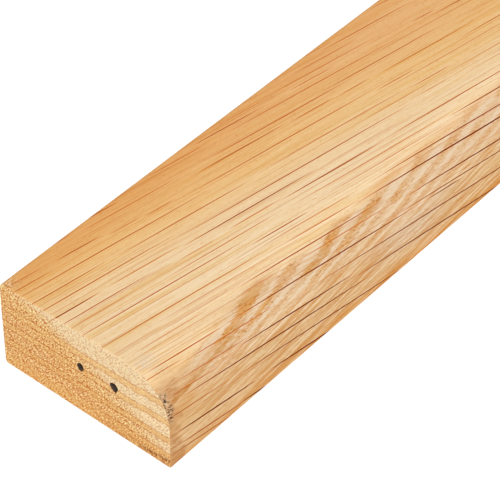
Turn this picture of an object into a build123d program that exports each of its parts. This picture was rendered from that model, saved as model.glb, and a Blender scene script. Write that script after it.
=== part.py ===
"""Skirting board: one length of solid oak with a rounded top edge, lying on its back face.

X runs along the board, Y across its height to the floor edge, Z out of the back face.
The origin is the middle of the back face.
"""

import os

from build123d import *

# Driving dimensions, in millimetres
BOARD_LENGTH = 2400.0
BOARD_HEIGHT = 40.0
BOARD_THICKNESS = 20.0

# Edges of the section, named as the board stands against a wall
TOP_ROUND_RADIUS = 10.0
FLOOR_FRONT_EASE = 1.2
FLOOR_BACK_EASE = 0.7
TOP_BACK_EASE = 0.3

# Two small pin holes, side by side in the end grain of one end
PIN_HOLE_DIAMETER = 1.9
PIN_HOLE_DEPTH = 8.0
PIN_HOLE_SPACING = 8.0
PIN_HOLE_ABOVE_MIDDLE = 1.6
FIRST_HOLE_FROM_FLOOR_EDGE = 19.1

NEAR_END_X = -BOARD_LENGTH / 2
FLOOR_EDGE_Y = BOARD_HEIGHT / 2

# The near end seen from outside: across from the floor edge, up from the middle of the thickness
near_end = Plane(
    origin=(NEAR_END_X, FLOOR_EDGE_Y, BOARD_THICKNESS / 2),
    x_dir=(0, -1, 0),
    z_dir=(-1, 0, 0),
)
pin_hole_centres = [
    (FIRST_HOLE_FROM_FLOOR_EDGE, PIN_HOLE_ABOVE_MIDDLE),
    (FIRST_HOLE_FROM_FLOOR_EDGE + PIN_HOLE_SPACING, PIN_HOLE_ABOVE_MIDDLE),
]

with BuildPart() as skirting_board:
    # Section: a rectangle on its back face, each corner with its own round
    with BuildSketch(Plane.YZ.offset(NEAR_END_X)) as section:
        Rectangle(BOARD_HEIGHT, BOARD_THICKNESS, align=(Align.CENTER, Align.MIN))
        back_corners, front_corners = section.vertices().group_by(Axis.Y)
        top_back, floor_back = back_corners.sort_by(Axis.X)
        top_front, floor_front = front_corners.sort_by(Axis.X)
        fillet(top_front, TOP_ROUND_RADIUS)
        fillet(floor_front, FLOOR_FRONT_EASE)
        fillet(floor_back, FLOOR_BACK_EASE)
        fillet(top_back, TOP_BACK_EASE)
    extrude(amount=BOARD_LENGTH)

    # Blind holes into the sawn end
    with Locations(near_end):
        with Locations(*pin_hole_centres):
            Hole(radius=PIN_HOLE_DIAMETER / 2, depth=PIN_HOLE_DEPTH)

skirting_board.part.label = "skirting_board"

os.makedirs("parts", exist_ok=True)
export_step(skirting_board.part, "parts/skirting_board.step")
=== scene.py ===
"""Dresses one length of solid oak skirting board for its picture.

The board lies on its back face. X runs along it from the sawn end in view, Y points to its floor edge
and Z comes out of the back face. Shapes are in metres. The timber's figure is drawn in millimetres.
"""

from math import atan2, pi, radians

import bmesh
import bpy
from mathutils import Euler, Matrix, Vector


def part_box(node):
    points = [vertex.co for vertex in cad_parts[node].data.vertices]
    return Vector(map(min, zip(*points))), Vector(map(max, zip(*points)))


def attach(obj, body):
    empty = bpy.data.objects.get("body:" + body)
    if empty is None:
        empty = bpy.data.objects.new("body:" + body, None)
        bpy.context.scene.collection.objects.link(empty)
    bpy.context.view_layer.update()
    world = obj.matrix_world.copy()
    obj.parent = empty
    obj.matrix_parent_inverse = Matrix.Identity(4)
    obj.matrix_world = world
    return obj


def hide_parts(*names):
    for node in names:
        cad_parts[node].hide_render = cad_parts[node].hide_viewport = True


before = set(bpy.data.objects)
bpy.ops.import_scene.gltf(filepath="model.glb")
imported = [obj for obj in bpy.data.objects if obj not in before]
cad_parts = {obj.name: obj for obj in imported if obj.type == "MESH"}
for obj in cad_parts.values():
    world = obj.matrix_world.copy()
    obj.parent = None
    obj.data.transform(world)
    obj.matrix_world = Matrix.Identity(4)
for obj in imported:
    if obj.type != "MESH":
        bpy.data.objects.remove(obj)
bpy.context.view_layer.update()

# Sizes of the board, in metres
MM = 0.001
BOARD_LOW, BOARD_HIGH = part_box("skirting_board")
BOARD_SIZE = BOARD_HIGH - BOARD_LOW
BOARD_MIDDLE = (BOARD_LOW + BOARD_HIGH) / 2
HEIGHT_MM, THICKNESS_MM = BOARD_SIZE.y / MM, BOARD_SIZE.z / MM
NEAR_END, FAR_END = BOARD_LOW.x, BOARD_HIGH.x
TOP_EDGE, FLOOR_EDGE = BOARD_LOW.y, BOARD_HIGH.y
BACK, FRONT = BOARD_LOW.z, BOARD_HIGH.z
TOP_ROUND = 10.0 * MM
FLOOR_FRONT_EASE = 1.2 * MM
FLOOR_BACK_EASE = 0.7 * MM
TOP_BACK_EASE = 0.3 * MM
END_ARRIS = 0.22 * MM

# Pin holes in the sawn end: middle across from the floor edge and up from the back, in millimetres, and
# the outline's reach in millimetres, turning from across to up
PIN_HOLES = (
    (19.2, 11.55, (0.80, 0.85, 0.96, 0.88, 0.75, 0.80, 0.75, 1.05, 1.10, 0.90)),
    (27.15, 11.75, (1.05, 1.00, 1.05, 1.00, 0.95, 0.95, 0.85, 0.95, 1.40, 0.95)),
)
PIN_HOLE_DEPTH = 8.0 * MM

# Camera, from the photograph's straight edges
LENS_MM = 169.24
SENSOR_MM = 36.0
CAMERA_HEADING = radians(39.678)
CAMERA_ELEVATION = radians(43.137)
CAMERA_ROLL = radians(0.542)
CAMERA_DISTANCE = 420.8 * MM
AIM_ALONG = 35.18 * MM
AIM_FROM_FLOOR_EDGE = 28.34 * MM

# Floor and key light
FLOOR_SIZE = 60.0
FLOOR_GAP = 0.02 * MM
KEY_DIRECTION = Vector((0.55, 0.41, -0.73))
KEY_STRENGTH = 1.75
KEY_SPREAD = radians(60)

# How the figure runs through the timber. The fibres swing slowly from side to side along the board.
SWING_LENGTH = 300.0
SWING_START = 60.0
RAY_ALONG, RAY_UP = -0.157, -0.854
RING_ALONG, RING_UP = -0.13, 1.23
RING_START, RING_REACH = 12.0, 40.0
FLAKE_START, FLAKE_SLOPE, FLAKE_BEND, FLAKE_PITCH, FLAKE_PHASE = 36.0, 2.0, 0.23, 12.7, 8.0

# Brown smears in the flake figure: ray and reach to each side, lean where the smear ends, length of its fade
# and depth of its colour
FLAKE_SMEARS = (
    (31.4, 3.8, 34.5, 34.0, 0.5), (33.2, 3.2, 58.5, 14.0, 0.64), (38.4, 4.2, 34.8, 7.0, 1.1),
    (42.4, 3.4, 34.0, 7.0, 0.9), (29.8, 2.6, 71.0, 16.0, 0.43),
)

# The board's colour map, in pixels: the stretches that the long faces are laid out in, each with its first
# and last millimetre along, its corner on the map, and the pixels to a millimetre along and around, then the
# corner and the pixels to a millimetre of both ends and of the holes
MAP_SIZE = 1024
MAP_MARGIN_MM = 1.0
MAP_STRETCHES = (
    (0, 150, 6, 6, 4.5, 4.6),
    (150, 525, 6, 566, 0.88, 1.83),
    (525, 900, 346, 566, 0.88, 1.83),
    (900, 1275, 686, 566, 0.88, 1.83),
    (1275, 1650, 6, 796, 0.88, 1.83),
    (1650, 2025, 346, 796, 0.88, 1.83),
    (2025, 2400, 686, 796, 0.88, 1.83),
)
MAP_NEAR_END = (692, 6, 8.0)
MAP_FAR_END = (692, 180, 5.0)
MAP_HOLES = (692, 300, 6.0)
MAP_HOLE_STEP = 120
MAP_HOLE_FLOOR = (70, 15)

# Smoother level bands left by the saw on the end: lower and upper edge, in millimetres above the back
SAW_BANDS = ((13.6, 15.1), (9.6, 11.05), (5.5, 6.95), (-1.0, 3.0))

# Dark rays seen on the long faces: place across at the sawn end, first and last millimetre along, darkness
RAY_LINES = (
    (-15.3, 103, 125, 0.60), (-12.6, 84, 92, 0.40), (-11.7, 86, 114, 0.60), (-9.9, 77, 97, 0.50),
    (-8.0, 70, 100, 0.45), (-7.6, 56, 73, 0.40), (-6.5, 74, 87, 0.50), (-6.2, 49, 68, 0.75),
    (-4.8, 54, 106, 0.50), (-4.9, 36, 53, 0.55), (-6.7, 107, 114, 0.60), (-2.1, 75, 112, 0.65),
    (-1.4, 46, 86, 0.60), (-1.0, 17, 43, 0.50), (-3.0, 21, 30, 0.65), (-1.6, 11, 18, 0.45),
    (1.1, 88, 117, 0.60), (0.9, 79, 88, 0.50), (0.7, 67, 79, 0.55), (0.4, 43, 68, 0.75),
    (3.9, 36, 87, 0.60), (3.3, 29, 37, 0.55), (3.0, 21, 30, 0.45), (2.2, 10, 21, 0.75),
    (1.9, -3, 9, 0.45), (3.7, -4, 9, 0.55), (4.5, 85, 96, 0.50), (5.5, -6, 47, 0.65),
    (5.3, 78, 135, 0.32), (8.2, 90, 102, 0.50), (7.8, 50, 92, 0.55), (8.4, 17, 52, 0.65),
    (8.2, -5, 17, 0.65), (9.4, 76, 96, 0.32), (9.6, 96, 140, 0.42), (10.8, -8, 30, 0.65),
    (11.8, 26, 90, 0.75), (10.9, 89, 98, 0.40), (12.0, 99, 130, 0.35), (13.7, -8, 11, 0.95),
    (13.6, 10, 29, 0.50), (14.1, 26, 62, 0.90), (14.2, 58, 84, 0.32), (16.0, 74, 118, 0.70),
    (16.4, 48, 75, 0.85), (16.1, 36, 50, 0.50), (16.5, 24, 34, 0.38), (15.8, -6, 22, 0.65),
    (17.5, -4, 16, 0.42), (18.8, 46, 93, 0.48), (18.5, 19, 48, 0.48), (19.4, 87, 124, 1.00),
    (20.6, 52, 90, 0.42), (20.2, -6, 40, 0.68), (22.0, 36, 51, 0.75), (21.8, -5, 32, 0.28),
    (23.3, 61, 128, 1.00), (23.5, 36, 63, 0.38), (26.1, 56, 140, 1.60), (25.7, 39, 60, 0.55),
    (24.7, -8, 41, 0.58), (26.4, 6, 50, 0.32), (27.4, -3, 12, 0.28), (28.8, 24, 66, 0.85),
    (28.3, 8, 27, 0.28), (29.5, 1, 20, 0.42), (30.7, 38, 68, 0.50), (30.4, 25, 36, 0.38),
    (31.0, 66, 116, 1.10), (33.7, 60, 122, 0.62), (34.5, 73, 85, 0.70), (34.4, 18, 72, 1.15),
    (34.6, 0, 20, 0.72), (36.0, -4, 9, 0.50), (36.8, 7, 32, 0.62), (37.7, 33, 130, 0.72),
    (39.8, 2, 24, 0.55), (40.6, 18, 52, 1.25), (41.7, 49, 112, 1.00), (42.0, 1, 14, 0.45),
    (43.5, 2, 59, 1.10), (46.6, 16, 72, 0.75), (46.2, -6, 17, 0.40), (50.0, 26, 49, 1.30),
    (50.2, 1, 24, 1.25), (52.9, 19, 28, 1.10), (53.1, 0, 22, 0.50), (54.3, -2, 18, 0.50),
)
LISTED_AS_FAR_AS = 112.0
RAY_HALF_WIDTH, RAY_WIDENING = 0.1, 0.06


def paint(red, green, blue):
    """A colour written as screen values from 0 to 255, as the shader wants it."""
    parts = []
    for part in (red, green, blue):
        share = part / 255
        parts.append(share / 12.92 if share <= 0.04045 else ((share + 0.055) / 1.055) ** 2.4)
    return (*parts, 1.0)


# Paints of the planed faces
FLOOR_SIDE_ORANGE = paint(223, 156, 84)
FLAKE_CREAM = paint(227, 202, 171)
TOP_EDGE_CREAM = paint(237, 203, 155)
PALE_PATCH_CREAM = paint(235, 211, 182)
LOW_EDGE_TAN = paint(228, 177, 114)
LOW_EDGE_ORANGE = paint(222, 160, 84)
STRIPE_TAN = paint(214, 154, 82)
STRIPE_SPECK_BROWN = paint(164, 98, 38)
STREAK_ORANGE = paint(214, 148, 80)
STREAK_CREAM = paint(246, 216, 176)
BRIM_ORANGE = paint(214, 142, 62)
SMEAR_BROWN = paint(200, 142, 70)
HAIR_ORANGE = paint(204, 118, 36)
LONG_HAIR_ORANGE = paint(190, 100, 26)
RAY_EDGE_ORANGE = paint(204, 108, 42)
RAY_BROWN = paint(136, 38, 8)
RAY_CORE_BROWN = paint(108, 34, 6)
SOAKED_BROWN = paint(182, 114, 54)
TORN_CREAM = paint(226, 200, 168)
TORN_BLACK = paint(58, 42, 34)
CHALK_GREY = paint(214, 198, 180)
DUST_BROWN = paint(122, 98, 78)
CORNER_CREAM = paint(246, 226, 186)
CORNER_BROWN = paint(140, 112, 82)

# Paints of the sawn end and the pin holes
LOW_BAND_TAN = paint(228, 175, 104)
HIGH_BAND_TAN = paint(236, 190, 123)
# Pale torn fibres, with painted highlights on them
STROKE_CREAM_HIGHLIGHT = paint(255, 232, 172)
STROKE_BROWN = paint(194, 108, 40)
PORE_BROWN = paint(178, 90, 36)
STAIN_BROWN = paint(176, 100, 40)
DRIP_BROWN = paint(128, 70, 32)
SAW_LINE_BROWN = paint(186, 106, 38)
END_RAY_TAN = paint(206, 132, 62)
# Painted shade inside the deep pin holes, over the walls' own darker wood
HOLE_BLACK = paint(58, 46, 41)
HOLE_GREY = paint(116, 96, 84)


# Shader helpers

class Wires:
    """Adds shader nodes to one tree and joins them as they are written."""

    def __init__(self, tree):
        self.tree = tree

    def join(self, value, socket):
        if isinstance(value, bpy.types.NodeSocket):
            self.tree.links.new(value, socket)
        else:
            socket.default_value = value

    def add(self, kind, inputs=(), **settings):
        node = self.tree.nodes.new(kind)
        for name, value in settings.items():
            setattr(node, name, value)
        for key, value in dict(inputs).items():
            self.join(value, node.inputs[key])
        return node

    def math(self, operation, a, b=0.0, c=0.0):
        return self.add("ShaderNodeMath", {0: a, 1: b, 2: c}, operation=operation).outputs[0]

    def plus(self, *values):
        total = values[0]
        for value in values[1:]:
            total = self.math("ADD", total, value)
        return total

    def minus(self, a, b):
        return self.math("SUBTRACT", a, b)

    def times(self, *values):
        total = values[0]
        for value in values[1:]:
            total = self.math("MULTIPLY", total, value)
        return total

    def most(self, *values):
        total = values[0]
        for value in values[1:]:
            total = self.math("MAXIMUM", total, value)
        return total

    def scaled(self, value, factor, start=0.0):
        return self.math("MULTIPLY_ADD", value, factor, start)

    def step(self, value, low, high):
        """0 at low and beyond, 1 at high and beyond, smooth between. Low may be the larger."""
        ends = {0: value, 1: low, 2: high}
        return self.add("ShaderNodeMapRange", ends, interpolation_type="SMOOTHSTEP", clamp=False).outputs[0]

    def near(self, value, middle, reach):
        """1 at the middle, falling smoothly to 0 at this reach on both sides."""
        return self.step(self.math("ABSOLUTE", self.minus(value, middle)), reach, 0.0)

    def spot(self, x, y=0.0, z=0.0):
        return self.add("ShaderNodeCombineXYZ", {0: x, 1: y, 2: z}).outputs[0]

    def noise(self, place, detail=2.0, roughness=0.5):
        inputs = {"Vector": place, "Scale": 1.0, "Detail": detail, "Roughness": roughness}
        return self.add("ShaderNodeTexNoise", inputs).outputs["Fac"]

    def chance(self, place):
        """Three random numbers that stay the same for the same place."""
        colour = self.add("ShaderNodeTexWhiteNoise", {"Vector": place}).outputs["Color"]
        return self.add("ShaderNodeSeparateColor", {0: colour}).outputs

    def mix(self, share, a, b, blend="MIX"):
        node = self.add("ShaderNodeMix", data_type="RGBA", blend_type=blend)
        for key, value in ((0, share), (6, a), (7, b)):
            self.join(value, node.inputs[key])
        return node.outputs[2]

    def tint(self, share, colour, red, green, blue):
        """Multiplies a colour by these three factors, as far as the share goes."""
        return self.mix(share, colour, (red, green, blue, 1), "MULTIPLY")

    def ramp(self, value, stops):
        node = self.add("ShaderNodeValToRGB", {0: value})
        marks = node.color_ramp.elements
        while len(marks) < len(stops):
            marks.new(0.5)
        for mark, (position, colour) in zip(marks, stops):
            mark.position = position
            mark.color = colour
        return node.outputs[0]

    def group(self, tree, **inputs):
        node = self.add("ShaderNodeGroup", node_tree=tree)
        for name, value in inputs.items():
            self.join(value, node.inputs[name.replace("_", " ")])
        return node.outputs


def new_group(name, inputs, outputs):
    """An empty shader group with named sockets: the group, its wires, what it takes and what it gives."""
    tree = bpy.data.node_groups.new(name, "ShaderNodeTree")
    for label in inputs:
        tree.interface.new_socket(label, in_out="INPUT", socket_type="NodeSocketFloat")
    for label, kind in outputs.items():
        tree.interface.new_socket(label, in_out="OUTPUT", socket_type="NodeSocket" + kind)
    wires = Wires(tree)
    taken = tree.nodes.new("NodeGroupInput").outputs
    given = tree.nodes.new("NodeGroupOutput").inputs
    return tree, wires, taken, given


# The timber's figure

def timber_place_group():
    """Where a spot lies in the timber, in millimetres: across, along and up, and along each figure."""
    labels = ("Across", "Along", "Up", "Drift", "Girth", "Ray", "Ring")
    tree, w, _, given = new_group("timber_place", (), dict.fromkeys(labels, "Float"))
    spot = w.add("ShaderNodeTexCoord").outputs["Object"]
    x, y, z = w.add("ShaderNodeSeparateXYZ", {0: spot}).outputs
    along = w.scaled(x, 1000.0, -1000.0 * NEAR_END)
    across = w.scaled(y, -1000.0, 1000.0 * FLOOR_EDGE)
    up = w.scaled(z, 1000.0, -1000.0 * BACK)
    below_front = w.scaled(z, 1000.0, -1000.0 * FRONT)
    swing = w.math("SINE", w.scaled(along, 1 / SWING_LENGTH, -SWING_START / SWING_LENGTH))
    drift = w.scaled(swing, SWING_LENGTH, SWING_START)
    sway = w.noise(w.spot(w.scaled(along, 0.045), w.scaled(across, 0.08), w.scaled(up, 0.08)), 1.0)
    sway = w.scaled(sway, 0.24, -0.12)
    girth = w.plus(across, w.scaled(below_front, RAY_UP))
    ray = w.plus(girth, w.scaled(drift, RAY_ALONG), sway)
    ring = w.plus(across, w.scaled(drift, RING_ALONG), w.scaled(below_front, RING_UP), sway)
    for label, value in zip(labels, (across, along, up, drift, girth, ray, ring)):
        w.join(value, given[label])
    return tree


def heartwood_group():
    """Broad colour bands of the timber, from orange through cream, by growth ring."""
    tree, w, taken, given = new_group("heartwood_bands", ("Ring",), {"Colour": "Color"})
    ring = w.math("PINGPONG", w.math("ADD", taken["Ring"], RING_START), RING_REACH)
    share = w.math("DIVIDE", ring, RING_REACH)
    stops = (
        (0.0, paint(229, 174, 114)),
        (0.24, paint(229, 173, 110)),
        (0.36, paint(231, 179, 115)),
        (0.46, paint(234, 187, 124)),
        (0.54, paint(236, 195, 138)),
        (0.62, paint(237, 201, 151)),
        (0.68, paint(239, 208, 164)),
        (0.85, paint(241, 212, 170)),
        (1.0, paint(240, 210, 166)),
    )
    w.join(w.ramp(share, stops), given["Colour"])
    return tree


def ray_tracks_group():
    """Thin dark lines at chance places, a track at a time: each has its own length and strength."""
    takes = ("Ray", "Along", "Pitch", "Seed", "Reach", "Width")
    tree, w, taken, given = new_group("ray_tracks", takes, {"Line": "Float"})
    tracks = w.math("DIVIDE", taken["Ray"], taken["Pitch"])
    track = w.math("FLOOR", tracks)
    place, width, strength = w.chance(w.spot(track, taken["Seed"]))[:3]
    gap = w.minus(w.math("FRACT", tracks), w.scaled(place, 0.6, 0.2))
    gap = w.times(w.math("ABSOLUTE", gap), taken["Pitch"])
    row = w.spot(w.scaled(track, 17.3), w.math("DIVIDE", taken["Along"], taken["Reach"]), taken["Seed"])
    there = w.step(w.noise(row, 1.0), 0.47, 0.56)
    width = w.times(w.scaled(width, 0.7, 1.0), taken["Width"])
    line = w.step(gap, width, w.scaled(width, 0.35))
    w.join(w.times(line, there, w.scaled(strength, 0.65, 0.35)), given["Line"])
    return tree


def ray_lines_group(tracks_group):
    """The dark rays: those in view one by one, then chance ones over the rest of the board."""
    tree, w, taken, given = new_group("ray_lines", ("Ray", "Along"), {"Line": "Float", "Verge": "Float"})
    spot = w.spot(taken["Ray"], taken["Along"])
    total = 0.0
    verge = 0.0
    for place, first, last, darkness in RAY_LINES:
        half_width = RAY_HALF_WIDTH + RAY_WIDENING * darkness
        middle, half_length = (first + last) / 2, (last - first) / 2
        scale = (1 / half_width, 1 / half_length, 0)
        start = (-place / half_width, -middle / half_length, 0)
        away = w.add("ShaderNodeVectorMath", {0: spot, 1: scale, 2: start}, operation="MULTIPLY_ADD")
        away = w.add("ShaderNodeVectorMath", {0: away.outputs[0]}, operation="LENGTH").outputs["Value"]
        total = w.math("MULTIPLY_ADD", w.step(away, 1.05, 0.6), darkness, total)
        verge = w.math("MULTIPLY_ADD", w.step(away, 2.6, 1.2), darkness, verge)
    beyond = w.step(taken["Along"], LISTED_AS_FAR_AS - 8, LISTED_AS_FAR_AS + 8)
    chance = w.group(tracks_group, Ray=taken["Ray"], Along=taken["Along"], Pitch=2.4, Seed=3.0, Reach=55.0,
                     Width=0.11)
    w.join(w.most(total, w.times(chance["Line"], beyond)), given["Line"])
    w.join(verge, given["Verge"])
    return tree


def grain_textures(w, place):
    """Streaks along the grain, from broad bands down to single fibres and specks."""
    along, up, ray, ring = place["Along"], place["Up"], place["Ray"], place["Ring"]
    return {
        "broad": w.noise(w.spot(w.scaled(ray, 0.55), w.scaled(ring, 0.3), w.scaled(along, 0.014)), 3.0),
        "fibre": w.noise(w.spot(w.scaled(ray, 2.6), w.scaled(ring, 1.3), w.scaled(along, 0.07)), 2.0),
        "grain": w.noise(w.spot(w.scaled(ray, 3.6), w.scaled(ring, 1.8), w.scaled(along, 0.45)), 2.0, 0.7),
        "specks": w.noise(w.spot(w.scaled(ray, 3.2), w.scaled(ring, 1.6), w.scaled(along, 1.6)), 1.0),
        "dashes": w.noise(w.spot(w.scaled(ray, 4.0), w.scaled(along, 0.6), w.scaled(up, 0.9)), 2.0, 0.6),
    }


def banded_colour(w, place, texture, heart_group):
    """Colour bands of the long faces, deeper by the floor edge and paler towards the middle of the front."""
    across, along = place["Across"], place["Along"]
    colour = w.group(heart_group, Ring=place["Ring"])["Colour"]
    colour = w.mix(w.scaled(w.step(across, 7.0, 1.5), 0.45), colour, FLOOR_SIDE_ORANGE)
    colour = w.tint(w.scaled(w.step(along, 16.0, 2.0), 0.3), colour, 0.94, 0.9, 0.84)
    paler = w.times(w.step(along, 25.0, 95.0), w.step(across, 27.0, 14.0))
    colour = w.tint(paler, colour, 1.01, 1.07, 1.2)
    colour = w.tint(w.step(texture["broad"], 0.5, 0.72), colour, 0.96, 0.89, 0.70)
    colour = w.tint(w.step(texture["broad"], 0.5, 0.3), colour, 1.02, 1.05, 1.1)
    colour = w.tint(w.step(texture["fibre"], 0.5, 0.75), colour, 0.97, 0.89, 0.74)
    return w.tint(w.step(texture["fibre"], 0.5, 0.25), colour, 1.02, 1.05, 1.1)


def flake_figure(w, place, texture, colour, side):
    """Flake figure over the round and down the top edge: ragged stripes that lean against the grain."""
    along, up, drift, girth, ray = (place[name] for name in ("Along", "Up", "Drift", "Girth", "Ray"))
    fibre, dashes = texture["fibre"], texture["dashes"]

    # Pale ground, with a paler patch and an orange low edge
    teeth = w.noise(w.spot(w.scaled(ray, 2.6), w.scaled(along, 0.22), w.scaled(up, 0.6)), 2.0, 0.6)
    swell = w.noise(w.spot(w.scaled(girth, 0.16), w.scaled(along, 0.08), w.scaled(up, 0.1)), 1.0)
    begins = w.plus(girth, w.scaled(w.step(along, 26.0, 6.0), -3.0), w.scaled(swell, 4.0, -2.0))
    flaked = w.step(w.plus(begins, w.scaled(teeth, 3.0, -1.5)), 34.5, 37.5)
    ground = w.mix(w.step(girth, 41.0, 50.0), FLAKE_CREAM, TOP_EDGE_CREAM)
    pale_patch = w.times(w.near(girth, 49.0, 8.0), w.near(along, 69.0, 20.0))
    ground = w.mix(pale_patch, ground, PALE_PATCH_CREAM)
    low_edge = w.mix(w.step(along, 30.0, 65.0), LOW_EDGE_TAN, LOW_EDGE_ORANGE)
    ground = w.mix(w.step(up, 4.0, 1.0), ground, low_edge)
    ground = w.tint(w.step(fibre, 0.5, 0.75), ground, 0.93, 0.84, 0.68)
    colour = w.mix(w.scaled(flaked, 0.88), colour, ground)

    # Broad tongues with thinner stripes between them
    turn = w.minus(girth, FLAKE_START)
    lean = w.plus(drift, w.scaled(turn, FLAKE_SLOPE), w.scaled(w.times(turn, turn), FLAKE_BEND))
    parted = w.chance(w.spot(w.math("FLOOR", w.scaled(ray, 0.37)), 5.0))[0]
    phase = w.plus(lean, w.scaled(teeth, 3.0), w.scaled(swell, 5.0), w.scaled(parted, 2.0, FLAKE_PHASE))
    crumbly = w.scaled(dashes, 2.6, -1.3)
    tongue = w.math("SINE", w.scaled(phase, 2 * pi / FLAKE_PITCH))
    tongue = w.step(w.plus(tongue, crumbly, w.scaled(w.step(turn, 4.5, 1.0), 0.75)), 0.15, 0.95)
    between = w.math("SINE", w.scaled(phase, 4 * pi / FLAKE_PITCH, 1.2))
    between = w.times(w.step(w.plus(between, crumbly), 0.2, 0.9), w.step(turn, 2.0, 4.0), 0.75)
    patchy = w.noise(w.spot(w.scaled(girth, 0.3), w.scaled(along, 0.13), 7.0), 1.0)
    fading = w.scaled(w.step(along, 100.0, 45.0), 0.35, 0.65)
    patchy = w.times(w.scaled(w.step(patchy, 0.3, 0.6), 0.55, 0.45), fading)
    stripe = w.times(w.most(tongue, between), flaked, w.step(along, 0.0, 16.0), patchy)
    colour = w.mix(w.times(stripe, w.scaled(side, -0.45, 0.9)), colour, STRIPE_TAN)
    speckled = w.times(stripe, w.step(texture["specks"], 0.5, 0.64), w.scaled(side, -0.4, 0.55))
    colour = w.mix(speckled, colour, STRIPE_SPECK_BROWN)

    # Finer streaks and hatching down the top edge
    from_end = w.scaled(w.step(along, 4.0, 24.0), 0.65, 0.35)
    streaked = w.times(side, w.scaled(pale_patch, -0.6, 1.0), from_end)
    across_streaks = w.scaled(w.plus(lean, w.scaled(swell, 6.0), w.scaled(teeth, 1.5)), 0.15)
    streaks = w.noise(w.spot(across_streaks, w.scaled(along, 0.045), 31.0), 2.0, 0.6)
    colour = w.mix(w.times(w.step(streaks, 0.5, 0.56), streaked, 0.6), colour, STREAK_ORANGE)
    colour = w.mix(w.times(w.step(streaks, 0.48, 0.41), streaked, 0.5), colour, STREAK_CREAM)
    hatching = w.noise(w.spot(w.scaled(across_streaks, 2.2), w.scaled(along, 0.12), 37.0), 2.0, 0.7)
    colour = w.tint(w.times(w.step(hatching, 0.5, 0.64), streaked), colour, 0.94, 0.84, 0.68)
    colour = w.tint(w.times(w.step(hatching, 0.5, 0.36), streaked), colour, 1.04, 1.09, 1.18)

    # An orange brim where the figure begins, then the brown smears
    brim = w.times(w.near(girth, 35.3, 1.8), w.step(along, 52.0, 66.0))
    colour = w.mix(w.times(brim, w.scaled(fibre, 0.6)), colour, BRIM_ORANGE)
    for middle, reach, end, fade, depth in FLAKE_SMEARS:
        cut = w.plus(lean, w.scaled(teeth, 7.0, -3.5))
        smear = w.times(w.step(cut, end - fade, end - 2.0), w.step(cut, end + 1.2, end))
        smear = w.times(smear, w.near(ray, middle, reach))
        smear = w.times(smear, w.scaled(w.step(dashes, 0.3, 0.7), 0.7, 0.4), depth)
        colour = w.mix(smear, colour, SMEAR_BROWN)
    return colour


def ray_marks(w, place, texture, colour, side, lines_group, tracks_group):
    """Specks and fine grain, then hair lines and the dark rays with their pale verges."""
    along, ray = place["Along"], place["Ray"]
    colour = w.tint(w.scaled(w.step(texture["specks"], 0.6, 0.76), 0.6), colour, 0.82, 0.64, 0.40)
    colour = w.tint(w.step(texture["grain"], 0.5, 0.75), colour, 0.95, 0.88, 0.78)
    colour = w.tint(w.step(texture["grain"], 0.5, 0.25), colour, 1.03, 1.06, 1.1)
    hairs = w.group(tracks_group, Ray=ray, Along=along, Pitch=0.7, Seed=4.0, Reach=30.0, Width=0.07)
    long_hairs = w.group(tracks_group, Ray=ray, Along=along, Pitch=1.5, Seed=8.0, Reach=48.0, Width=0.08)
    colour = w.mix(w.scaled(hairs["Line"], 0.5), colour, HAIR_ORANGE)
    colour = w.mix(w.scaled(long_hairs["Line"], 0.6), colour, LONG_HAIR_ORANGE)
    lines = w.group(lines_group, Ray=ray, Along=along)
    line = w.times(lines["Line"], w.scaled(side, 0.8, 1.15))
    verge = w.math("MINIMUM", w.scaled(lines["Verge"], 0.8), 1.0)
    colour = w.tint(verge, colour, 1.04, 1.07, 1.1)
    colour = w.mix(w.math("MINIMUM", w.scaled(line, 1.7), 1.0), colour, RAY_EDGE_ORANGE)
    colour = w.mix(w.scaled(w.step(line, 0.45, 1.25), 0.92), colour, RAY_BROWN)
    return w.mix(w.scaled(w.step(line, 0.8, 1.6), 0.85), colour, RAY_CORE_BROWN)


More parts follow.
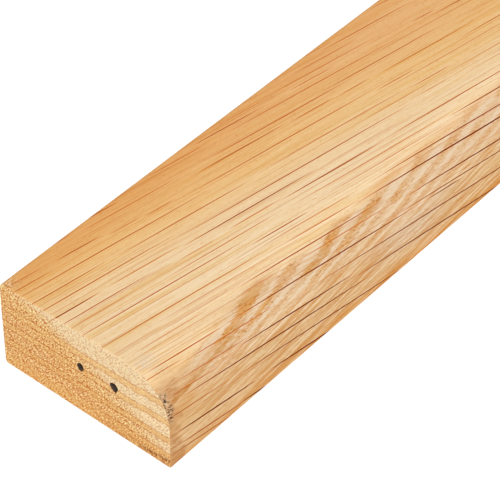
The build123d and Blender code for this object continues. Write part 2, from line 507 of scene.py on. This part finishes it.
def sawn_end_wear(w, place, texture, colour):
    """Stains and grime by the sawn end, torn dark fibres on the round, pale ones and smudges on the front."""
    across, along, up, girth, ray = (place[name] for name in ("Across", "Along", "Up", "Girth", "Ray"))
    ragged = w.noise(w.spot(w.scaled(girth, 1.1), w.scaled(along, 0.5), 21.0), 2.0)
    crumbs = w.noise(w.spot(w.scaled(ray, 3.2), w.scaled(along, 1.7), 25.0), 2.0, 0.6)
    from_saw = w.plus(along, w.scaled(ragged, -2.4, 1.2))
    off_back = w.step(up, 0.3, 1.5)

    # Brown and amber stains
    streaky = w.scaled(w.step(texture["dashes"], 0.35, 0.65), 0.75, 0.3)
    stained = w.times(w.step(from_saw, 17.0, 6.0), w.step(girth, 33.5, 38.0), w.step(girth, 56.0, 47.0))
    colour = w.tint(stained, colour, 0.96, 0.89, 0.78)
    amber = w.times(w.step(from_saw, 9.0, 5.0), w.near(girth, 44.5, 7.5))
    colour = w.tint(amber, colour, 0.95, 0.87, 0.76)
    soiled = w.times(w.step(from_saw, 5.5, 2.5), w.step(up, 4.0, 1.5))
    colour = w.tint(soiled, colour, 0.92, 0.88, 0.86)
    blocks = w.chance(w.spot(w.math("FLOOR", w.scaled(ray, 0.8)), 11.0))[0]
    soaked = w.step(w.plus(from_saw, w.scaled(blocks, -3.0)), 2.4, 1.2)
    browned = w.times(soaked, w.step(girth, 37.5, 40.5), streaky)
    colour = w.mix(w.scaled(browned, 0.62), colour, SOAKED_BROWN)

    # Torn fibres on the arris of the round
    torn = w.times(w.step(from_saw, 2.3, 0.9), w.near(girth, 44.0, 6.5), off_back)
    colour = w.mix(w.times(torn, w.step(crumbs, 0.56, 0.46), 0.4), colour, TORN_CREAM)
    torn_through = w.times(w.step(torn, 0.2, 0.7), w.step(crumbs, 0.47, 0.58), 0.9)
    colour = w.mix(torn_through, colour, TORN_BLACK)

    # Chalky and dusty smudges, then the bruised corner by the floor edge
    chalk = w.times(w.near(girth, 32.8, 3.2), w.near(along, 2.6, 3.4), w.step(crumbs, 0.42, 0.56), off_back)
    colour = w.mix(w.scaled(chalk, 0.6), colour, CHALK_GREY)
    dust = w.times(w.near(girth, 36.5, 2.2), w.near(along, 3.6, 2.4), w.step(crumbs, 0.52, 0.6), off_back)
    colour = w.mix(w.scaled(dust, 0.45), colour, DUST_BROWN)
    corner = w.times(w.step(from_saw, 4.0, 0.5), w.step(across, 4.5, 1.0), w.step(up, 13.0, 17.0))
    colour = w.mix(w.times(corner, w.step(crumbs, 0.48, 0.4), 0.8), colour, CORNER_CREAM)
    return w.mix(w.times(corner, w.step(crumbs, 0.52, 0.6), 0.75), colour, CORNER_BROWN)


def planed_oak(place_group, heart_group, lines_group, tracks_group):
    """Planed long faces: colour bands, fine streaks, dark ray lines and the flake figure by the round."""
    material = bpy.data.materials.new("planed_oak")
    material.use_nodes = True
    w = Wires(material.node_tree)
    surface = material.node_tree.nodes["Principled BSDF"]
    place = w.group(place_group)
    texture = grain_textures(w, place)
    side = w.step(place["Girth"], 40.0, 47.0)
    colour = banded_colour(w, place, texture, heart_group)
    colour = flake_figure(w, place, texture, colour, side)
    colour = ray_marks(w, place, texture, colour, side, lines_group, tracks_group)
    colour = sawn_end_wear(w, place, texture, colour)
    w.join(colour, surface.inputs["Base Color"])
    surface.inputs["Roughness"].default_value = 0.7
    surface.inputs["Specular IOR Level"].default_value = 0.03
    return material


def saw_bands(w, across, up):
    """Level bands left by the saw, rising a little to the right, and the thin lines along their edges."""
    bands = 0.0
    saw_lines = 0.0
    waver = w.noise(w.spot(w.scaled(across, 0.5), w.scaled(up, 0.3), 5.0), 2.0)
    fray = w.noise(w.spot(w.scaled(across, 2.4), w.scaled(up, 1.6), 17.0), 2.0, 0.6)
    level = w.plus(up, w.scaled(across, -0.016), w.scaled(waver, 0.3, -0.15), w.scaled(fray, 0.7, -0.35))
    for low, high in SAW_BANDS:
        middle, reach = (low + high) / 2, (high - low) / 2
        gap = w.math("ABSOLUTE", w.minus(level, middle))
        bands = w.most(bands, w.step(gap, reach + 0.1, reach - 0.1))
        saw_lines = w.most(saw_lines, w.near(gap, reach, 0.2))
    return bands, saw_lines


def sawn_oak(place_group, heart_group, lines_group):
    """Sawn end grain: colour bands, strokes and pores, and the level bands left by the saw."""
    material = bpy.data.materials.new("sawn_oak")
    material.use_nodes = True
    w = Wires(material.node_tree)
    surface = material.node_tree.nodes["Principled BSDF"]
    place = w.group(place_group)
    across, along, up, ray = place["Across"], place["Along"], place["Up"], place["Ray"]

    # The rings curve down to the right across the end
    depth = w.scaled(up, -1.0, THICKNESS_MM)
    ring = w.plus(across, w.scaled(depth, -2.9, 7.0), w.scaled(w.times(depth, depth), 0.058))
    blur = w.noise(w.spot(w.scaled(across, 0.7), w.scaled(up, 0.9), 2.0), 2.0)
    colour = w.group(heart_group, Ring=w.plus(ring, w.scaled(blur, 6.0, -3.0)))["Colour"]
    colour = w.tint(1.0, colour, 1.0, 1.05, 1.07)
    pale = w.step(ring, 8.0, 17.0)
    bands, saw_lines = saw_bands(w, across, up)
    band_colour = w.mix(w.step(up, 2.0, 15.0), LOW_BAND_TAN, HIGH_BAND_TAN)
    colour = w.mix(w.scaled(bands, 0.78), colour, band_colour)

    # Strokes torn by the saw, leaning to the right, and the pores between them
    cross = w.plus(across, w.scaled(up, -0.7))
    length = w.plus(w.scaled(across, 0.7), up)
    strokes = w.noise(w.spot(w.scaled(cross, 3.4), w.scaled(length, 1.1), 3.0), 2.0, 0.55)
    pores = w.noise(w.spot(w.scaled(cross, 2.8), w.scaled(length, 1.5), 9.0), 1.0)
    rough = w.scaled(pale, -0.45, 1.0)
    rough = w.times(rough, w.scaled(bands, -0.25, 1.0))
    # Cream strokes: the torn fibres' pale colour with painted highlights where they catch the light
    colour = w.mix(w.times(w.step(strokes, 0.5, 0.32), rough), colour, STROKE_CREAM_HIGHLIGHT)
    colour = w.mix(w.times(w.step(strokes, 0.5, 0.64), rough), colour, STROKE_BROWN)
    colour = w.mix(w.times(w.step(pores, 0.6, 0.67), rough, 0.9), colour, PORE_BROWN)

    # Stains in the low right corner, then the saw lines and the rays under the front
    upright = w.noise(w.spot(w.scaled(across, 2.6), w.scaled(up, 0.7), 14.0), 2.0, 0.6)
    low_right = w.times(w.step(up, 3.4, 0.5), w.step(across, 20.0, 38.0))
    colour = w.mix(w.times(low_right, w.step(upright, 0.4, 0.62), 0.75), colour, STAIN_BROWN)
    drips = w.times(w.near(w.plus(up, w.scaled(across, -0.1, 3.3)), 0.95, 0.6), w.step(across, 31.0, 35.0))
    colour = w.mix(w.times(drips, w.step(upright, 0.4, 0.55), 0.8), colour, DRIP_BROWN)
    saw_lines = w.times(saw_lines, w.most(w.step(up, 3.6, 4.4), w.step(across, 18.0, 28.0)))
    broken = w.noise(w.spot(w.scaled(across, 0.7), w.scaled(up, 1.5), 12.0), 2.0)
    saw_lines = w.times(saw_lines, w.step(broken, 0.2, 0.55), w.scaled(pale, -0.2, 0.9))
    colour = w.mix(saw_lines, colour, SAW_LINE_BROWN)
    lines = w.group(lines_group, Ray=ray, Along=along)["Line"]
    colour = w.mix(w.times(lines, w.step(up, 13.5, 17.0), 0.6), colour, END_RAY_TAN)

    w.join(colour, surface.inputs["Base Color"])
    surface.inputs["Roughness"].default_value = 0.85
    surface.inputs["Specular IOR Level"].default_value = 0.02
    relief = w.add("ShaderNodeBump", {"Height": strokes, "Strength": 0.15, "Distance": 0.0003})
    w.join(relief.outputs[0], surface.inputs["Normal"])
    return material


def hole_shade():
    """Dark walls of the pin holes: painted shade of the deep, narrow holes, over the walls' own darker wood.
    """
    material = bpy.data.materials.new("hole_shade")
    material.use_nodes = True
    w = Wires(material.node_tree)
    surface = material.node_tree.nodes["Principled BSDF"]
    spot = w.add("ShaderNodeTexCoord").outputs["Object"]
    spot = w.add("ShaderNodeVectorMath", {0: spot, "Scale": 1800.0}, operation="SCALE").outputs[0]
    # Painted shade of the hole, mottled by noise
    w.join(w.mix(w.noise(spot, 3.0), HOLE_BLACK, HOLE_GREY), surface.inputs["Base Color"])
    surface.inputs["Roughness"].default_value = 0.9
    surface.inputs["Specular IOR Level"].default_value = 0.1
    return material


# The board's shape

def pick_edges(board, wanted):
    """Selects only the edges whose two ends both pass the test."""
    bpy.ops.mesh.select_mode(type="EDGE")
    bpy.ops.mesh.select_all(action="DESELECT")
    shape = bmesh.from_edit_mesh(board.data)
    for edge in shape.edges:
        if all(wanted(corner.co) for corner in edge.verts):
            edge.select_set(True)
    bmesh.update_edit_mesh(board.data)


def round_long_edge(board, y, z, radius, segments):
    """Rounds the one long edge that runs along the board at this place on its section."""
    pick_edges(board, lambda co: abs(co.y - y) < 1e-5 and abs(co.z - z) < 1e-5)
    bpy.ops.mesh.bevel(offset=radius, offset_type="OFFSET", segments=segments, profile=0.5, affect="EDGES")


def soften_end(board, x):
    """Takes the sharpness off the outline of one sawn end."""
    pick_edges(board, lambda co: abs(co.x - x) < 1e-5)
    bpy.ops.mesh.bevel(offset=END_ARRIS, offset_type="OFFSET", segments=2, profile=0.5, affect="EDGES")


def cut_board(axis, places):
    """Cuts the faces at each place on one axis, so that they are fine enough to shape."""
    for place in places:
        point = Vector((0, 0, 0))
        point[axis] = place
        normal = Vector((0, 0, 0))
        normal[axis] = 1
        bpy.ops.mesh.select_all(action="SELECT")
        bpy.ops.mesh.bisect(plane_co=point, plane_no=normal)


def model_board():
    """The board as a block with its long edges rounded, cut finer towards the sawn end."""
    bpy.ops.object.select_all(action="DESELECT")
    bpy.ops.mesh.primitive_cube_add(size=1.0, location=BOARD_MIDDLE, scale=BOARD_SIZE)
    board = bpy.context.object
    board.name = "oak_skirting_board"
    bpy.ops.object.transform_apply(location=True, rotation=True, scale=True)
    bpy.ops.object.mode_set(mode="EDIT")
    round_long_edge(board, TOP_EDGE, FRONT, TOP_ROUND, 20)
    round_long_edge(board, FLOOR_EDGE, FRONT, FLOOR_FRONT_EASE, 6)
    round_long_edge(board, FLOOR_EDGE, BACK, FLOOR_BACK_EASE, 4)
    round_long_edge(board, TOP_EDGE, BACK, TOP_BACK_EASE, 2)
    soften_end(board, NEAR_END)
    soften_end(board, FAR_END)
    cut_board(0, [NEAR_END + along * MM for along in (0.6, 1.1, 1.6, 2.2, 3.0, 4.0, 5.0, 6.5)])
    cut_board(0, [NEAR_END + stretch[0] * MM for stretch in MAP_STRETCHES[1:]])
    cut_board(1, [TOP_EDGE + 0.5 * MM * step for step in range(1, 80)])
    cut_board(2, [BACK + 0.5 * MM * step for step in range(1, 40)])
    bpy.ops.object.mode_set(mode="OBJECT")
    return board


def drill_pin_holes(board, shade):
    """Sinks the two uneven pin holes into the sawn end."""
    for across, up, outline in PIN_HOLES:
        place = (NEAR_END + PIN_HOLE_DEPTH / 2 - 1 * MM, FLOOR_EDGE - across * MM, BACK + up * MM)
        bpy.ops.object.select_all(action="DESELECT")
        bpy.ops.mesh.primitive_cylinder_add(
            vertices=len(outline), radius=1.0 * MM, depth=PIN_HOLE_DEPTH + 2 * MM, location=place,
            rotation=(0, pi / 2, 0))
        pin = bpy.context.object
        bpy.ops.object.transform_apply(location=True, rotation=True, scale=True)
        for corner in pin.data.vertices:
            out = corner.co - Vector(place)
            turn = atan2(out.z, -out.y) % (2 * pi)
            reach = outline[round(turn / (2 * pi) * len(outline)) % len(outline)]
            corner.co = Vector(place) + Vector((out.x, out.y * reach, out.z * reach))
        pin.data.materials.append(shade)
        bpy.context.view_layer.objects.active = board
        hole = board.modifiers.new("pin_hole", "BOOLEAN")
        hole.operation = "DIFFERENCE"
        hole.solver = "EXACT"
        hole.material_mode = "TRANSFER"
        hole.object = pin
        bpy.ops.object.modifier_apply(modifier=hole.name)
        bpy.data.objects.remove(pin)
    bpy.ops.object.select_all(action="DESELECT")
    board.select_set(True)
    bpy.ops.object.mode_set(mode="EDIT")
    bpy.ops.mesh.select_all(action="SELECT")
    bpy.ops.mesh.dissolve_degenerate(threshold=1e-6)
    bpy.ops.object.mode_set(mode="OBJECT")


def in_millimetres(place):
    """A place as millimetres across from the floor edge, along from the sawn end and up from the back."""
    return (FLOOR_EDGE - place.y) / MM, (place.x - NEAR_END) / MM, (place.z - BACK) / MM


def weigh_corners(board, name, weight):
    """A named vertex group with this weight, 0 to 1, for each place in millimetres across, along and up."""
    group = board.vertex_groups.new(name=name)
    for corner in board.data.vertices:
        share = min(1.0, weight(*in_millimetres(corner.co)))
        if share > 0:
            group.add([corner.index], share, "REPLACE")
    return group.name


def floor_corner_wear(across, along, up):
    """Full at the front corner by the floor edge, gone about 5 millimetres from it."""
    from_corner = across + along + THICKNESS_MM - up
    return 1.6 - from_corner / 3.2


def round_arris_wear(across, along, up):
    """Strongest on the sawn arris of the round, gone at the round's ends and 1.9 millimetres along."""
    inside_round = min(across - 33, up - 9, 0.6)
    return max(0, 1.9 - along) * inside_round


def wear_sawn_edge(board):
    """Wears down the front corner by the floor edge and tears the arris of the round."""
    bpy.ops.object.select_all(action="DESELECT")
    board.select_set(True)
    bpy.context.view_layer.objects.active = board
    worn = board.modifiers.new("worn_corner", "SMOOTH")
    worn.vertex_group = weigh_corners(board, "floor_corner", floor_corner_wear)
    worn.factor = 0.5
    worn.iterations = 5
    bpy.ops.object.modifier_apply(modifier=worn.name)
    fibres = bpy.data.textures.new("torn_fibres", "CLOUDS")
    fibres.noise_scale = 1.0 * MM
    fibres.noise_depth = 2
    torn = board.modifiers.new("torn_arris", "DISPLACE")
    torn.texture = fibres
    torn.texture_coords = "LOCAL"
    torn.mid_level = 0.0
    torn.strength = -0.5 * MM
    torn.vertex_group = weigh_corners(board, "round_arris", round_arris_wear)
    bpy.ops.object.modifier_apply(modifier=torn.name)
    frayed = board.modifiers.new("frayed_arris", "SMOOTH")
    frayed.vertex_group = "round_arris"
    frayed.factor = 0.5
    frayed.iterations = 3
    bpy.ops.object.modifier_apply(modifier=frayed.name)


def finish_faces(board):
    """Gives each face its surface and smooths the rounds."""
    names = [material.name for material in board.data.materials]
    for face in board.data.polygons:
        if names[face.material_index] == "hole_shade":
            continue
        on_end = abs(face.normal.x) > 0.5
        face.material_index = names.index("sawn_oak" if on_end else "planed_oak")
    bpy.ops.object.select_all(action="DESELECT")
    board.select_set(True)
    bpy.context.view_layer.objects.active = board
    bpy.ops.object.shade_smooth_by_angle(angle=radians(25))


def around_section(across, up, face):
    """Millimetres around the section: up the floor edge, over the front and the top edge, along the back."""
    face_across, _, face_up = face
    whole_way = 2 * (HEIGHT_MM + THICKNESS_MM)
    in_floor_back_ease = face_up < 0.75 and face_across < 0.75
    on_back = face_up < 0.45
    if in_floor_back_ease:
        return whole_way - across + up
    if on_back:
        return whole_way - across - up
    if face_across < HEIGHT_MM / 2:
        return across + up
    return 2 * THICKNESS_MM + across - up


def on_long_face(corner, face):
    """Where a corner of a long face lies on the map."""
    across, along, up = corner
    for first, last, left, low, along_scale, around_scale in MAP_STRETCHES:
        if first < face[1] < last:
            whole_way = 2 * (HEIGHT_MM + THICKNESS_MM)
            around = whole_way + MAP_MARGIN_MM - around_section(across, up, face)
            return left + (along - first) * along_scale, low + around * around_scale


def on_hole(corner, face, on_floor):
    """Where a corner of a pin hole's wall or floor lies on the map."""
    across, along, up = corner
    left, low, scale = MAP_HOLES
    hole = min(PIN_HOLES, key=lambda pin: abs(pin[0] - face[0]))
    left += MAP_HOLE_STEP * PIN_HOLES.index(hole)
    if on_floor:
        floor_left, floor_low = MAP_HOLE_FLOOR
        return left + floor_left + (across - hole[0]) * scale, low + floor_low + (up - hole[1]) * scale
    middle = atan2(face[2] - hole[1], face[0] - hole[0])
    turn = atan2(up - hole[1], across - hole[0]) - middle
    turn = (turn + pi) % (2 * pi) - pi + middle
    return left + along * scale, low + (pi - turn) * scale


def lay_out_map(board):
    """Lays the faces out on the colour map, with most of it for the stretch by the sawn end."""
    names = [material.name for material in board.data.materials]
    layout = board.data.uv_layers.new(name="OFBake")
    for face in board.data.polygons:
        middle = in_millimetres(face.center)
        for loop in face.loop_indices:
            corner = in_millimetres(board.data.vertices[board.data.loops[loop].vertex_index].co)
            if names[face.material_index] == "hole_shade":
                spot = on_hole(corner, middle, abs(face.normal.x) > 0.5)
            elif face.normal.x < -0.5:
                left, low, scale = MAP_NEAR_END
                spot = left + corner[0] * scale, low + corner[2] * scale
            elif face.normal.x > 0.5:
                left, low, scale = MAP_FAR_END
                spot = left + (HEIGHT_MM - corner[0]) * scale, low + corner[2] * scale
            else:
                spot = on_long_face(corner, middle)
            layout.data[loop].uv = (spot[0] / MAP_SIZE, spot[1] / MAP_SIZE)


# The studio

def seen_directly(w):
    """1 for what the camera sees, straight or in a shiny or clear surface."""
    path = w.add("ShaderNodeLightPath").outputs
    return w.most(path["Is Camera Ray"], path["Is Glossy Ray"], path["Is Transmission Ray"])


def add_floor():
    """A plain pale floor that the camera sees as white, with the board's shadow on it."""
    bpy.ops.object.select_all(action="DESELECT")
    bpy.ops.mesh.primitive_plane_add(size=FLOOR_SIZE, location=(0, 0, BACK - FLOOR_GAP))
    floor = bpy.context.object
    floor.name = "floor"
    material = bpy.data.materials.new("pale_floor")
    material.use_nodes = True
    w = Wires(material.node_tree)
    surface = material.node_tree.nodes["Principled BSDF"]
    surface.inputs["Base Color"].default_value = (0.8, 0.8, 0.8, 1)
    surface.inputs["Roughness"].default_value = 0.9
    surface.inputs["Specular IOR Level"].default_value = 0.0
    surface.inputs["Emission Color"].default_value = (1, 1, 1, 1)
    w.join(w.scaled(seen_directly(w), 0.45), surface.inputs["Emission Strength"])
    floor.data.materials.append(material)


def add_light():
    """An even white surround and one broad soft lamp."""
    world = bpy.data.worlds.new("studio")
    bpy.context.scene.world = world
    world.use_nodes = True
    w = Wires(world.node_tree)
    background = world.node_tree.nodes["Background"]
    background.inputs["Color"].default_value = (1, 1, 1, 1)
    w.join(w.scaled(seen_directly(w), 0.4, 0.6), background.inputs["Strength"])
    lamp = bpy.data.lights.new("soft_key", "SUN")
    lamp.energy = KEY_STRENGTH
    lamp.angle = KEY_SPREAD
    key = bpy.data.objects.new("soft_key", lamp)
    key.rotation_euler = KEY_DIRECTION.to_track_quat("-Z", "Y").to_euler()
    bpy.context.collection.objects.link(key)


def add_camera():
    """The photograph's viewpoint."""
    data = bpy.data.cameras.new("camera")
    data.lens = LENS_MM
    data.sensor_width = SENSOR_MM
    camera = bpy.data.objects.new("camera", data)
    bpy.context.collection.objects.link(camera)
    turn = Euler((pi / 2 - CAMERA_ELEVATION, 0, CAMERA_HEADING - pi / 2)).to_matrix()
    turn = turn @ Matrix.Rotation(CAMERA_ROLL, 3, "Z")
    aim = Vector((NEAR_END + AIM_ALONG, FLOOR_EDGE - AIM_FROM_FLOOR_EDGE, FRONT))
    camera.matrix_world = Matrix.Translation(aim + turn @ Vector((0, 0, CAMERA_DISTANCE))) @ turn.to_4x4()
    bpy.context.scene.camera = camera


place = timber_place_group()
heart = heartwood_group()
tracks = ray_tracks_group()
lines = ray_lines_group(tracks)
shade = hole_shade()
board = model_board()
wear_sawn_edge(board)
for material in (planed_oak(place, heart, lines, tracks), sawn_oak(place, heart, lines)):
    board.data.materials.append(material)
drill_pin_holes(board, shade)
finish_faces(board)
lay_out_map(board)
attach(board, "root")
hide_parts("skirting_board")
add_floor()
add_light()
add_camera()
bpy.context.scene.view_settings.view_transform = "Standard"
